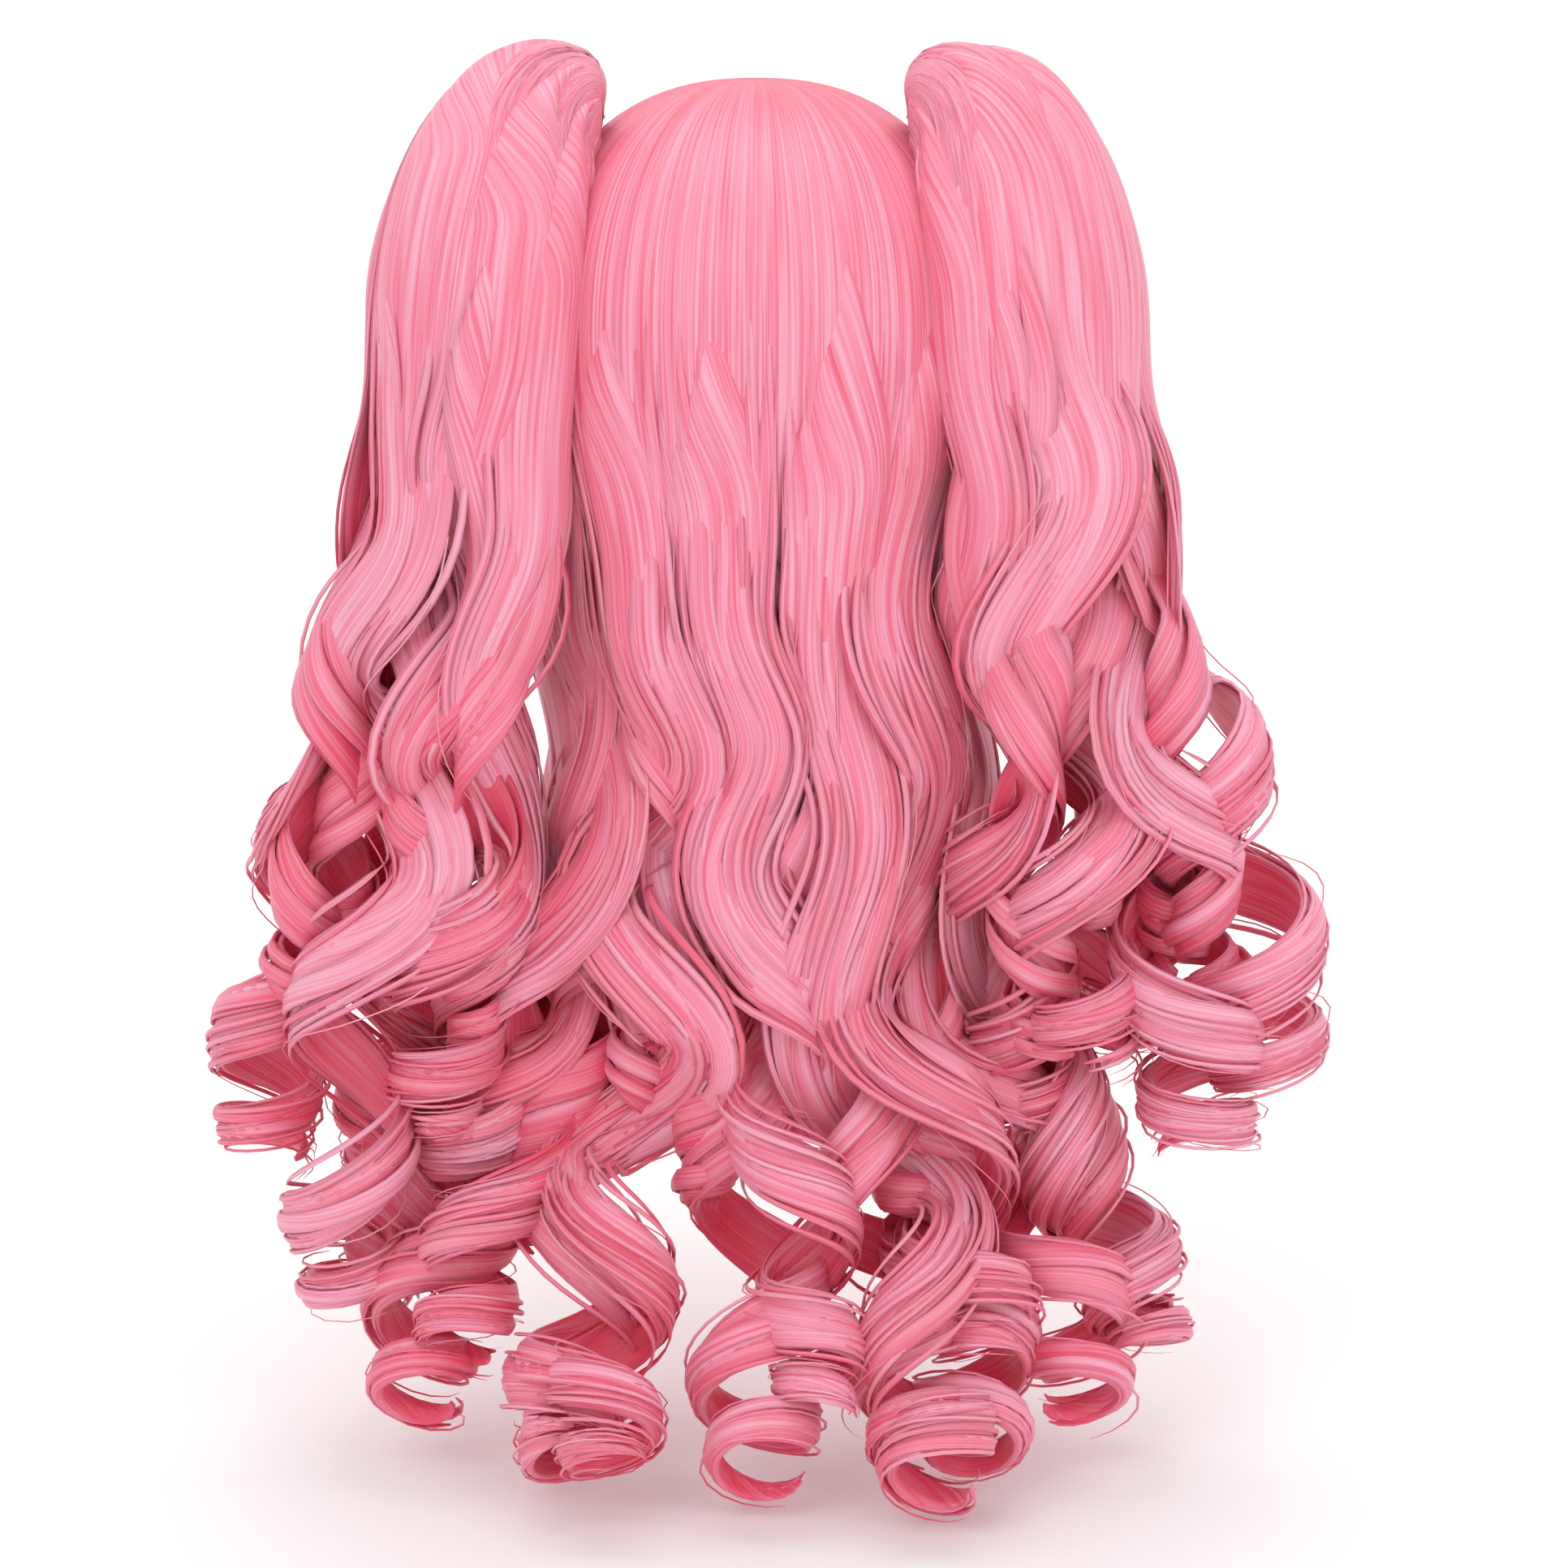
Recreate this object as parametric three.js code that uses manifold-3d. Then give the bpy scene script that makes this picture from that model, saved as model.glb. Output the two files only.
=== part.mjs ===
// A curled wig with two clip-on pigtails, in the form it takes on a head. Millimetres, +Z up.
// The back of the wig faces -Y and the face opening +Y, so the wearer's right is at +X.
// The origin is where the crown of the head touches the inside of the cap.
import * as THREE from 'three';
import { mergeVertices } from 'three/addons/utils/BufferGeometryUtils.js';
import Module from 'manifold-3d';

const wasm = await Module();
wasm.setup();

// The head that the cap fits, a rounded form with its widest level below the crown
const HEAD_HALF_WIDTH = 76;
const HEAD_HALF_DEPTH = 95;
const CROWN_HEIGHT = 92;
const NAPE_HEIGHT = 118;
const HEAD_FULLNESS = 2.3;
const WHORL_LEAN_DEG = 12;

// The cap, whose rim runs from the nape over the ears to the brow, in degrees from the whorl
const CAP_WALL = 2;
const NAPE_RIM_DEG = 150;
const BROW_RIM_DEG = 54;

// The hair that lies on the cap, and the fringe that hangs below its rim at the brow
const CROWN_HAIR = 9;
const WHORL_DEG = 2.5;
const HAIR_OVER_RIM_DEG = 3;
const FRINGE_DROP_DEG = 34;
const FRINGE_THINNING = 0.45;
const FRINGE_LOCKS = 9;
const FRINGE_GROOVE = 2.2;

// The hanging hair: how far it reaches below the crown, and how it waves and curls to its ends
const HAIR_LENGTH = 466;
const HAIR_WRAP_DEG = 70;
const LAYER_STEP = 10;
const LOCK_WIDTH = 32;
const LOCK_THICKNESS = 8;
const WAVY_LENGTH = 330;
const WAVE_PITCH = 120;
const TIP_PITCH = 34;
const TIGHTENING_LENGTH = 190;
const CURL_RADIUS = 20;
const WAVED_SHARE = 0.5;
const CURLED_SHARE = 0.72;
const WAVE_FLATNESS = 0.5;
const TIP_TAPER = 52;
const ROOT_TAPER = 90;
const ROOT_DEPTH = 5;

// The pigtails, each held by a hidden clip on the crown
const PIGTAIL_LENGTH = 440;
const PIGTAIL_HALF_WIDTH = 50;
const CLIP_TURN_DEG = 84;
const CLIP_POLAR_DEG = 37;
const CLIP_LENGTH_DEG = 24;
const CLIP_WIDTH_DEG = 9;
const CLIP_HEIGHT = 5;
const CLIP_SEAT = 1.5;

// Clearance between pieces, and how finely curved forms are stepped
const GAP = 0.4;
const LOCK_GAP = 1.5;
const SMALLEST_STEP = 0.4;
const MERGED_POINTS = 0.02;
const CLEANING_PASSES = 2;
const QUARTER_COLUMNS = 5;
const HEAD_ROWS = 8;
const FRINGE_ROWS = 2;
const LONGEST_STEP = 40;
const STEPS_A_TURN = 5.5;

// Where the back hair lies from crown to ends. Drop is a share of HAIR_LENGTH, the rest are
// shares of the crown hair's half width and half depth. Centre is where each level's arc starts.
const FALL = [
  { drop: 0.07, wide: 1.0, back: 1.0, centre: 0.0 },
  { drop: 0.13, wide: 1.0, back: 1.0, centre: 0.0 },
  { drop: 0.20, wide: 1.0, back: 1.01, centre: 0.0 },
  { drop: 0.33, wide: 0.96, back: 1.02, centre: 0.08 },
  { drop: 0.46, wide: 0.96, back: 1.03, centre: 0.2 },
  { drop: 0.60, wide: 1.06, back: 1.06, centre: 0.3 },
  { drop: 0.73, wide: 1.32, back: 1.14, centre: 0.4 },
  { drop: 0.85, wide: 1.66, back: 1.34, centre: 0.55 },
  { drop: 0.93, wide: 1.76, back: 1.6, centre: 0.8 },
  { drop: 0.96, wide: 1.7, back: 1.76, centre: 1.0 },
];

// The pigtail from its clip over the hump to its ends. Side and back are shares of the crown
// hair's half width and half depth, drop of PIGTAIL_LENGTH, wide and deep of PIGTAIL_HALF_WIDTH.
// Turn is the direction of the wide axis, in degrees from straight out to the side.
const BUNDLE = [
  { side: 0.64, back: 0.08, drop: 0.014, wide: 0.28, deep: 0.24, turn: 90 },
  { side: 0.78, back: 0.13, drop: -0.005, wide: 0.54, deep: 0.46, turn: 60 },
  { side: 0.98, back: 0.28, drop: 0.023, wide: 0.72, deep: 0.5, turn: 40 },
  { side: 1.09, back: 0.49, drop: 0.105, wide: 0.83, deep: 0.54, turn: 35 },
  { side: 1.13, back: 0.62, drop: 0.21, wide: 0.86, deep: 0.56, turn: 35 },
  { side: 1.19, back: 0.68, drop: 0.32, wide: 0.88, deep: 0.58, turn: 32 },
  { side: 1.29, back: 0.70, drop: 0.42, wide: 0.92, deep: 0.6, turn: 25 },
  { side: 1.38, back: 0.70, drop: 0.535, wide: 0.94, deep: 0.6, turn: 12 },
  { side: 1.49, back: 0.70, drop: 0.675, wide: 0.98, deep: 0.6, turn: 4 },
  { side: 1.58, back: 0.73, drop: 0.795, wide: 1.0, deep: 0.58, turn: 0 },
  { side: 1.58, back: 0.75, drop: 0.90, wide: 0.88, deep: 0.52, turn: 0 },
  { side: 1.56, back: 0.79, drop: 0.98, wide: 0.68, deep: 0.4, turn: 0 },
];
const CORE_END = 6.5;
const CORE_ROWS = 12;
const CORE_SIDES = 10;
const CORE_SHARE = 0.72;

// The rows of a table as objects, by the names of its columns.
function rowsOf(names, rows) {
  const columns = names.split(' ');
  return rows.map((row) => Object.fromEntries(columns.map((name, i) => [name, row[i]])));
}

// One row for each lock. Across is its place from left (-1) to right (+1) at the root, and toward
// the same at its tip. Layer 0 lies on top. Root and tip are rows of FALL. Width is a share of
// LOCK_WIDTH, pitch of WAVE_PITCH, and wave and curl are radii as shares of CURL_RADIUS. Phase is
// where it starts to wave, in turns.
const BACK_LOCKS = rowsOf('across toward layer root tip width wave pitch curl phase hand', [
  [-0.76, -0.62, 0, 1.4, 7.5, 0.94, 0.95, 1.42, 0.90, 0.91, -1],
  [-0.42, -0.27, 0, 1.2, 8.5, 1.00, 1.00, 0.93, 1.00, 0.64, 1],
  [-0.10, 0.12, 0, 1.6, 7.7, 1.00, 0.45, 0.83, 0.90, 0.32, 1],
  [0.25, 0.34, 0, 1.2, 8.9, 1.00, 0.65, 1.46, 1.05, 0.32, -1],
  [0.55, 0.46, 0, 1.5, 7.4, 1.00, 0.90, 1.46, 1.00, 0.48, 1],
  [0.84, 0.92, 0, 1.3, 7.7, 0.94, 0.50, 1.00, 0.95, 0.95, -1],
  [-0.66, -0.80, 1, 3.4, 8.3, 0.94, 0.55, 1.00, 0.95, 0.20, -1],
  [-0.26, -0.38, 1, 3.4, 8.3, 0.94, 0.60, 1.08, 1.00, 0.90, 1],
  [0.22, 0.32, 1, 3.4, 8.4, 0.94, 0.60, 0.96, 1.00, 0.05, -1],
  [0.66, 0.76, 1, 3.4, 8.2, 0.94, 0.55, 1.04, 1.05, 0.25, 1],
  [-1.04, -1.02, 0.7, 3.4, 7.3, 1.12, 0.50, 1.08, 0.90, 0.40, 1],
  [1.04, 1.02, 0.7, 3.4, 7.5, 1.12, 0.50, 1.00, 0.90, 0.55, -1],
  [-0.52, -0.42, 2, 3.4, 8.9, 1.00, 0.50, 1.00, 1.10, 0.75, 1],
  [-0.06, -0.10, 2, 3.4, 8.6, 1.00, 0.50, 1.08, 1.05, 0.45, -1],
  [0.42, 0.50, 2, 3.4, 8.9, 1.00, 0.50, 0.92, 1.10, 0.10, 1],
]);

// Around is the lock's place round the bundle in degrees: 0 outside, 90 behind, 180 inside.
const LEFT_LOCKS = rowsOf('around reach root tip width wave pitch curl phase hand', [
  [0, 0.74, 1.6, 9.3, 1.00, 0.70, 1.00, 1.00, 0.15, 1],
  [80, 0.80, 1.4, 10.4, 1.00, 1.10, 1.14, 1.05, 0.49, 1],
  [135, 0.70, 1.6, 8.9, 1.00, 0.70, 0.90, 1.00, 0.47, 1],
  [168, 0.78, 1.5, 9.9, 0.94, 0.60, 1.04, 0.95, 0.35, 1],
  [265, 0.70, 3.0, 9.5, 0.88, 0.55, 1.00, 0.85, 0.05, -1],
]);
const RIGHT_LOCKS = rowsOf('around reach root tip width wave pitch curl phase hand', [
  [20, 0.95, 1.5, 8.8, 1.00, 0.60, 0.89, 1.25, 0.03, -1],
  [62, 0.82, 1.6, 9.1, 1.00, 0.70, 1.00, 1.10, 0.20, 1],
  [114, 0.88, 1.4, 8.4, 1.00, 1.10, 1.26, 1.00, 0.02, -1],
  [172, 0.78, 1.6, 8.9, 0.94, 0.60, 1.00, 0.95, 0.90, -1],
  [270, 0.70, 3.0, 8.6, 0.88, 0.55, 1.08, 0.85, 0.75, 1],
]);

const HAIR_INSIDE = CAP_WALL + GAP;
const HAIR_OUTSIDE = HAIR_INSIDE + CROWN_HAIR;
const HAIR_HALF_WIDTH = HEAD_HALF_WIDTH + HAIR_OUTSIDE;
const HAIR_HALF_DEPTH = HEAD_HALF_DEPTH + HAIR_OUTSIDE;
const radians = THREE.MathUtils.degToRad;
const smooth = THREE.MathUtils.smoothstep;

// A named column of a table, read smoothly at a fractional row.
function column(rows, name, at) {
  const last = rows.length - 1;
  const low = Math.min(Math.floor(at), last - 1);
  const value = (i) => rows[THREE.MathUtils.clamp(i, 0, last)][name];
  const [a, b, c, d] = [value(low - 1), value(low), value(low + 1), value(low + 2)];
  const u = at - low;
  return b + 0.5 * u * (c - a + u * (2 * a - 5 * b + 4 * c - d + u * (3 * (b - c) + d - a)));
}

// A closed solid swept through loops of points, with its ends closed by strips across the loop.
// Leans tells for each side of the loop which of its two diagonals splits a quad.
function solidThrough(loops, leans, closedRound = false) {
  const size = loops[0].length;
  const positions = loops.flat().flatMap((p) => [p.x, p.y, p.z]);
  const faces = [];
  const quad = (a, b, c, d) => faces.push([a, b, c], [a, c, d]);
  const otherQuad = (a, b, c, d) => faces.push([a, b, d], [b, c, d]);
  const spans = closedRound ? loops.length : loops.length - 1;
  for (let k = 0; k < spans; k += 1) {
    const here = k * size;
    const next = ((k + 1) % loops.length) * size;
    for (let i = 0; i < size; i += 1) {
      const j = (i + 1) % size;
      const split = leans(i) ? otherQuad : quad;
      split(here + i, here + j, next + j, next + i);
    }
  }
  if (!closedRound) {
    const end = (loops.length - 1) * size;
    for (let i = 0; i < size / 2 - 1; i += 1) {
      const j = size - 1 - i;
      quad(j, j - 1, i + 1, i);
      quad(end + i, end + i + 1, end + j - 1, end + j);
    }
  }
  const raw = new THREE.BufferGeometry();
  raw.setAttribute('position', new THREE.Float32BufferAttribute(positions, 3));
  raw.setIndex(faces.flat());
  return manifoldOf(mergeVertices(raw, 1e-3));
}

// The geometry as a manifold-3d solid facing out, without the triangles that a pole collapses.
function manifoldOf(geometry) {
  const index = geometry.index.array;
  const kept = [];
  for (let i = 0; i < index.length; i += 3) {
    const [a, b, c] = [index[i], index[i + 1], index[i + 2]];
    if (a !== b && b !== c && c !== a) kept.push(a, b, c);
  }
  const meshOf = (triangles) => new wasm.Mesh({
    numProp: 3,
    vertProperties: geometry.attributes.position.array,
    triVerts: new Uint32Array(triangles),
  });
  const solid = new wasm.Manifold(meshOf(kept));
  return solid.volume() > 0 ? solid : new wasm.Manifold(meshOf(kept.reverse()));
}

// The main body of a fused solid, without short edges, crumbs or sealed hollows.
function mainBody(solid) {
  const largest = (bodies) => bodies.reduce((a, b) => (b.volume() > a.volume() ? b : a));
  let body = largest(solid.decompose());
  for (let pass = 0; pass < CLEANING_PASSES; pass += 1) {
    const mesh = body.simplify(SMALLEST_STEP).getMesh();
    const joined = new THREE.BufferGeometry();
    joined.setAttribute('position', new THREE.BufferAttribute(mesh.vertProperties, 3));
    joined.setIndex(new THREE.BufferAttribute(mesh.triVerts, 1));
    body = largest(manifoldOf(mergeVertices(joined, MERGED_POINTS)).decompose());
  }
  return body;
}

const fuse = (solids) => solids.reduce((all, solid) => all.add(solid));

// The point on the head form, grown outwards by out, at an angle round the whorl and away from it.
// Turn 0 is the back and 90 degrees the wearer's right.
function headPoint(turn, polar, out) {
  const x = Math.sin(polar) * Math.sin(turn);
  const flatY = -Math.sin(polar) * Math.cos(turn);
  const flatZ = Math.cos(polar);
  const lean = radians(WHORL_LEAN_DEG);
  const y = flatY * Math.cos(lean) + flatZ * Math.sin(lean);
  const z = flatZ * Math.cos(lean) - flatY * Math.sin(lean);
  const height = z > 0 ? CROWN_HEIGHT : NAPE_HEIGHT;
  const sum = Math.abs(x / (HEAD_HALF_WIDTH + out)) ** HEAD_FULLNESS
    + Math.abs(y / (HEAD_HALF_DEPTH + out)) ** HEAD_FULLNESS
    + Math.abs(z / (height + out)) ** HEAD_FULLNESS;
  const reach = sum ** (-1 / HEAD_FULLNESS);
  return new THREE.Vector3(x * reach, y * reach, z * reach - CROWN_HEIGHT);
}

// How much of the full width the head form has at a height, above its widest level.
function headShare(z, out) {
  const rise = Math.max(0, z + CROWN_HEIGHT) / (CROWN_HEIGHT + out);
  return (1 - Math.min(rise, 0.999) ** HEAD_FULLNESS) ** (1 / HEAD_FULLNESS);
}

// The polar angle of the cap's rim, the lowest at the nape and the highest at the brow.
function rimAngle(turn) {
  const share = (1 + Math.cos(turn)) / 2;
  return radians(BROW_RIM_DEG + (NAPE_RIM_DEG - BROW_RIM_DEG) * share);
}

// The angles down from the whorl at which every shell has a row, and rows below the rim.
function rowAngles(turn, firstAngle, belowRim, rowsBelow) {
  const down = Array.from({ length: HEAD_ROWS + 1 }, (_, j) => (rimAngle(turn) * j) / HEAD_ROWS);
  down[0] = firstAngle;
  for (let j = 1; j <= rowsBelow; j += 1) down.push(rimAngle(turn) + (belowRim * j) / rowsBelow);
  return down;
}

// A curved shell on the head form through columns of turns, with the rows that each turn has.
// Its inside and outside are distances from the head, by turn and by share of the way down.
function headShell({ turns, angles, inside, outside, round = false }) {
  const loops = turns.map((turn) => {
    const rows = angles(turn);
    const share = (j) => j / (rows.length - 1);
    const side = (out) => rows.map((polar, j) => headPoint(turn, polar, out(turn, share(j))));
    return [...side(outside), ...side(inside).reverse()];
  });
  return solidThrough(loops, (i) => i >= loops[0].length / 2, round);
}

const turnsBetween = (from, to, steps) => (
  Array.from({ length: steps + 1 }, (_, i) => from + ((to - from) * i) / steps)
);
const allRound = () => turnsBetween(-Math.PI, Math.PI, 4 * QUARTER_COLUMNS).slice(1);

function capSolid() {
  return headShell({
    turns: allRound(),
    angles: (turn) => rowAngles(turn, 0, 0, 0),
    inside: () => 0,
    outside: () => CAP_WALL,
    round: true,
  });
}

// The head with what lies on it to a distance out, to keep the locks clear of it.
function headBlock(out) {
  return headShell({
    turns: allRound(),
    angles: (turn) => rowAngles(turn, 0, radians(2 * HAIR_OVER_RIM_DEG), 2),
    inside: () => -HEAD_HALF_WIDTH / 2,
    outside: () => out,
    round: true,
  });
}

// The turns of a half shell, whose first and last columns stand back from the seam.
function halfTurns(middle, standBack) {
  const turns = turnsBetween(middle - Math.PI / 2, middle + Math.PI / 2, 2 * QUARTER_COLUMNS);
  turns[0] += standBack;
  turns[turns.length - 1] -= standBack;
  return turns;
}

// The back half of the hair that lies on the cap.
function backCrownSolid() {
  return headShell({
    turns: halfTurns(0, GAP / HAIR_HALF_WIDTH),
    angles: (turn) => rowAngles(turn, radians(WHORL_DEG), radians(HAIR_OVER_RIM_DEG), 1),
    inside: () => HAIR_INSIDE,
    outside: () => HAIR_OUTSIDE,
  });
}

// The front half, with a plain grooved fringe that hangs below the rim at the brow.
function frontHairSolid() {
  const belowRim = (turn) => {
    const front = (1 - Math.cos(turn)) / 2;
    return radians(HAIR_OVER_RIM_DEG + (FRINGE_DROP_DEG - HAIR_OVER_RIM_DEG) * front);
  };
  const groove = (turn, share) => {
    const wave = Math.abs(Math.sin(((turn - Math.PI) * FRINGE_LOCKS) / 2));
    return FRINGE_GROOVE * (1 - wave) * smooth(share, 0.3, 0.8);
  };
  return headShell({
    turns: halfTurns(Math.PI, GAP / HAIR_HALF_WIDTH),
    angles: (turn) => rowAngles(turn, radians(WHORL_DEG), belowRim(turn), FRINGE_ROWS),
    inside: () => HAIR_INSIDE,
    outside: (turn, share) => (
      HAIR_INSIDE + CROWN_HAIR * (1 - FRINGE_THINNING * smooth(share, 0.6, 1)) - groove(turn, share)
    ),
  });
}

// The hidden clip, a curved plate seated on the crown hair.
function clipSolid(side, grow = 0) {
  const widen = grow / HAIR_HALF_WIDTH;
  const halfTurn = radians(CLIP_LENGTH_DEG / 2) + widen;
  const halfAngle = radians(CLIP_WIDTH_DEG / 2) + widen;
  const middle = side * radians(CLIP_TURN_DEG);
  const angle = radians(CLIP_POLAR_DEG);
  return headShell({
    turns: turnsBetween(middle - halfTurn, middle + halfTurn, 2),
    angles: () => [angle - halfAngle, angle, angle + halfAngle],
    inside: () => HAIR_OUTSIDE + CLIP_SEAT - grow,
    outside: () => HAIR_OUTSIDE + CLIP_SEAT + CLIP_HEIGHT + grow,
  });
}

// Where a back lock's middle line lies at a row of FALL, and which way is out from the head.
function fallPlace(lock, at) {
  const sweep = smooth(at, lock.root, lock.tip);
  const turn = radians(HAIR_WRAP_DEG) * (lock.across + (lock.toward - lock.across) * sweep);
  const z = -HAIR_LENGTH * column(FALL, 'drop', at);
  const sunk = ROOT_DEPTH * (1 - smooth(at, lock.root, lock.root + 1.5))
    + lock.layer * LAYER_STEP * smooth(at, lock.root, 5);
  const on = headShare(z, HAIR_OUTSIDE);
  const wide = HAIR_HALF_WIDTH * column(FALL, 'wide', at) * on - sunk;
  const back = HAIR_HALF_DEPTH * column(FALL, 'back', at) * on - sunk;
  const centre = HAIR_HALF_DEPTH * column(FALL, 'centre', at);
  const point = new THREE.Vector3(
    wide * Math.sin(turn),
    -centre - (back - centre) * Math.cos(turn),
    z,
  );
  const out = new THREE.Vector3(Math.sin(turn), -Math.cos(turn), 0);
  return { point, out };
}

function bundleCentre(at) {
  return new THREE.Vector3(
    HAIR_HALF_WIDTH * column(BUNDLE, 'side', at),
    -HAIR_HALF_DEPTH * column(BUNDLE, 'back', at),
    -PIGTAIL_LENGTH * column(BUNDLE, 'drop', at),
  );
}

// The wide and deep axes of the bundle's section at a row of BUNDLE, with their half sizes.
function bundleSection(at) {
  const along = bundleCentre(at + 0.05).sub(bundleCentre(at - 0.05)).normalize();
  const turn = radians(column(BUNDLE, 'turn', at));
  const wideAxis = new THREE.Vector3(Math.cos(turn), Math.sin(turn), 0);
  wideAxis.addScaledVector(along, -wideAxis.dot(along)).normalize();
  const deepAxis = new THREE.Vector3().crossVectors(along, wideAxis);
  const wide = PIGTAIL_HALF_WIDTH * column(BUNDLE, 'wide', at);
  const deep = PIGTAIL_HALF_WIDTH * column(BUNDLE, 'deep', at);
  return { wideAxis, deepAxis, wide, deep };
}

// Where a pigtail lock's middle line lies at a row of BUNDLE, and which way is out of the bundle.
function bundlePlace(lock, at) {
  const around = radians(lock.around);
  const { wideAxis, deepAxis, wide, deep } = bundleSection(at);
  const point = bundleCentre(at)
    .addScaledVector(wideAxis, wide * lock.reach * Math.cos(around))
    .addScaledVector(deepAxis, deep * lock.reach * Math.sin(around));
  return { point, out: spokeAt(wideAxis, deepAxis, around) };
}

// The pitch of a lock's wave or curl at a distance from its tip, tightening to the tip.
function pitchAt(lock, rest) {
  const widest = WAVE_PITCH * lock.pitch;
  return TIP_PITCH + (widest - TIP_PITCH) * Math.min(rest / TIGHTENING_LENGTH, 1);
}

// Turns of wave and curl from where a lock starts to wave down to a distance from its tip.
function turnsDownTo(lock, rest) {
  const widest = WAVE_PITCH * lock.pitch;
  const growth = (widest - TIP_PITCH) / TIGHTENING_LENGTH;
  const even = WAVY_LENGTH - THREE.MathUtils.clamp(rest, TIGHTENING_LENGTH, WAVY_LENGTH);
  return even / widest + Math.log(widest / pitchAt(lock, rest)) / growth;
}

// The middle line of a lock, measured along its length from root to tip.
function lockLine(lock, place) {
  const samples = 80;
  const line = [];
  let length = 0;
  for (let i = 0; i <= samples; i += 1) {
    const at = lock.root + ((lock.tip - lock.root) * i) / samples;
    const { point } = place(lock, at);
    if (i) length += point.distanceTo(line[i - 1].point);
    line.push({ at, length, point });
  }
  return line;
}

function rowAtLength(line, length) {
  const next = Math.max(1, line.findIndex((spot) => spot.length >= length));
  const [a, b] = [line[next - 1], line[next]];
  return a.at + ((b.at - a.at) * (length - a.length)) / (b.length - a.length);
}

// A direction turned from out towards across.
function spokeAt(out, across, angle) {
  return out.clone().multiplyScalar(Math.cos(angle)).addScaledVector(across, Math.sin(angle));
}

// The sections of a lock as frames: its middle, out of its face, and its half sizes. It waves
// with its face out of the hair, and once it curls the face follows the curl.
function lockFrames(lock, place) {
  const line = lockLine(lock, place);
  const total = line[line.length - 1].length;
  const wavedTurns = turnsDownTo(lock, (1 - WAVED_SHARE) * WAVY_LENGTH);
  const firstFacing = Math.ceil(lock.phase + wavedTurns);
  const frames = [];
  let length = 0;
  while (true) {
    const rest = total - length;
    const at = rowAtLength(line, Math.min(length, total - 1e-6));
    const { point, out } = place(lock, at);
    const along = place(lock, at + 0.02).point.sub(place(lock, at - 0.02).point).normalize();
    out.addScaledVector(along, -out.dot(along)).normalize();
    const across = new THREE.Vector3().crossVectors(out, along);
    const wavy = 1 - Math.min(rest / WAVY_LENGTH, 1);
    const curly = smooth(wavy, WAVED_SHARE, CURLED_SHARE);
    const waving = lock.wave * smooth(wavy, 0, WAVED_SHARE * 0.8);
    const radius = CURL_RADIUS * (waving * (1 - curly) + lock.curl * curly);
    const turns = lock.phase + turnsDownTo(lock, rest);
    const spoke = spokeAt(out, across, 2 * Math.PI * lock.hand * turns);
    const flatten = (WAVE_FLATNESS - 1) * (1 - curly) * spoke.dot(out);
    const offset = spoke.clone().addScaledVector(out, flatten).multiplyScalar(radius);
    const facing = 2 * Math.PI * lock.hand * Math.max(0, turns - firstFacing);
    const tipSize = smooth(rest, -TIP_TAPER / 5, TIP_TAPER);
    const size = tipSize * (0.45 + 0.55 * smooth(length, 0, ROOT_TAPER));
    frames.push({
      middle: point.clone().add(offset),
      face: spokeAt(out, across, facing),
      halfWidth: ((LOCK_WIDTH * lock.width) / 2) * size * (1 - 0.2 * curly),
      halfThickness: (LOCK_THICKNESS / 2) * Math.sqrt(size) * (1 - 0.3 * curly),
    });
    if (rest <= 0) return frames;
    length = Math.min(total, length + Math.min(LONGEST_STEP, pitchAt(lock, rest) / STEPS_A_TURN));
  }
}

// A lock as a flat ribbon of hair, four-cornered in section, that tapers at both ends.
function lockSolid(lock, place, side = 1, grow = 0) {
  const frames = lockFrames(lock, place);
  const loops = frames.map(({ middle, face, halfWidth, halfThickness }, i) => {
    const before = frames[Math.max(0, i - 1)].middle;
    const after = frames[Math.min(frames.length - 1, i + 1)].middle;
    const along = after.clone().sub(before).normalize();
    const across = new THREE.Vector3().crossVectors(face, along).normalize();
    const outward = new THREE.Vector3().crossVectors(along, across);
    const beyond = grow * (i === 0 ? -1 : Number(i === frames.length - 1));
    const corner = (w, t) => {
      const p = middle.clone().addScaledVector(across, w).addScaledVector(outward, t)
        .addScaledVector(along, beyond);
      return new THREE.Vector3(side * p.x, p.y, p.z);
    };
    const [w, t] = [halfWidth + grow, halfThickness + grow];
    return [corner(w, 0), corner(0, t), corner(-w, 0), corner(0, -t)];
  });
  return solidThrough(loops, () => lock.hand < 0);
}

// The gathered hair inside a pigtail, which the locks leave.
function coreSolid(side, grow = 0) {
  const loops = Array.from({ length: CORE_ROWS + 1 }, (_, i) => {
    const at = (CORE_END * i) / CORE_ROWS;
    const { wideAxis, deepAxis, wide, deep } = bundleSection(at);
    const narrowing = 1 - (1 - CORE_SHARE) * smooth(at, 1.5, 3.5);
    const closing = 1 - 0.75 * smooth(at, 0.6 * CORE_END, CORE_END);
    const beyond = grow * (i === 0 ? 1 : -Number(i === CORE_ROWS));
    return Array.from({ length: CORE_SIDES }, (__, k) => {
      const around = (2 * Math.PI * k) / CORE_SIDES;
      const p = bundleCentre(at)
        .addScaledVector(wideAxis, (wide * narrowing * closing + grow) * Math.cos(around))
        .addScaledVector(deepAxis, (deep * narrowing * closing + grow) * Math.sin(around));
      return new THREE.Vector3(side * p.x, p.y, p.z + beyond);
    });
  });
  return solidThrough(loops, () => true);
}

function pigtailHair(side, locks, grow = 0) {
  return fuse([coreSolid(side, grow), ...locks.map((lock) => lockSolid(lock, bundlePlace, side, grow))]);
}

function pigtailSolid(side, locks) {
  const hair = pigtailHair(side, locks);
  return mainBody(hair.subtract(headBlock(HAIR_OUTSIDE + GAP)).subtract(clipSolid(side, GAP)));
}

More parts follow.
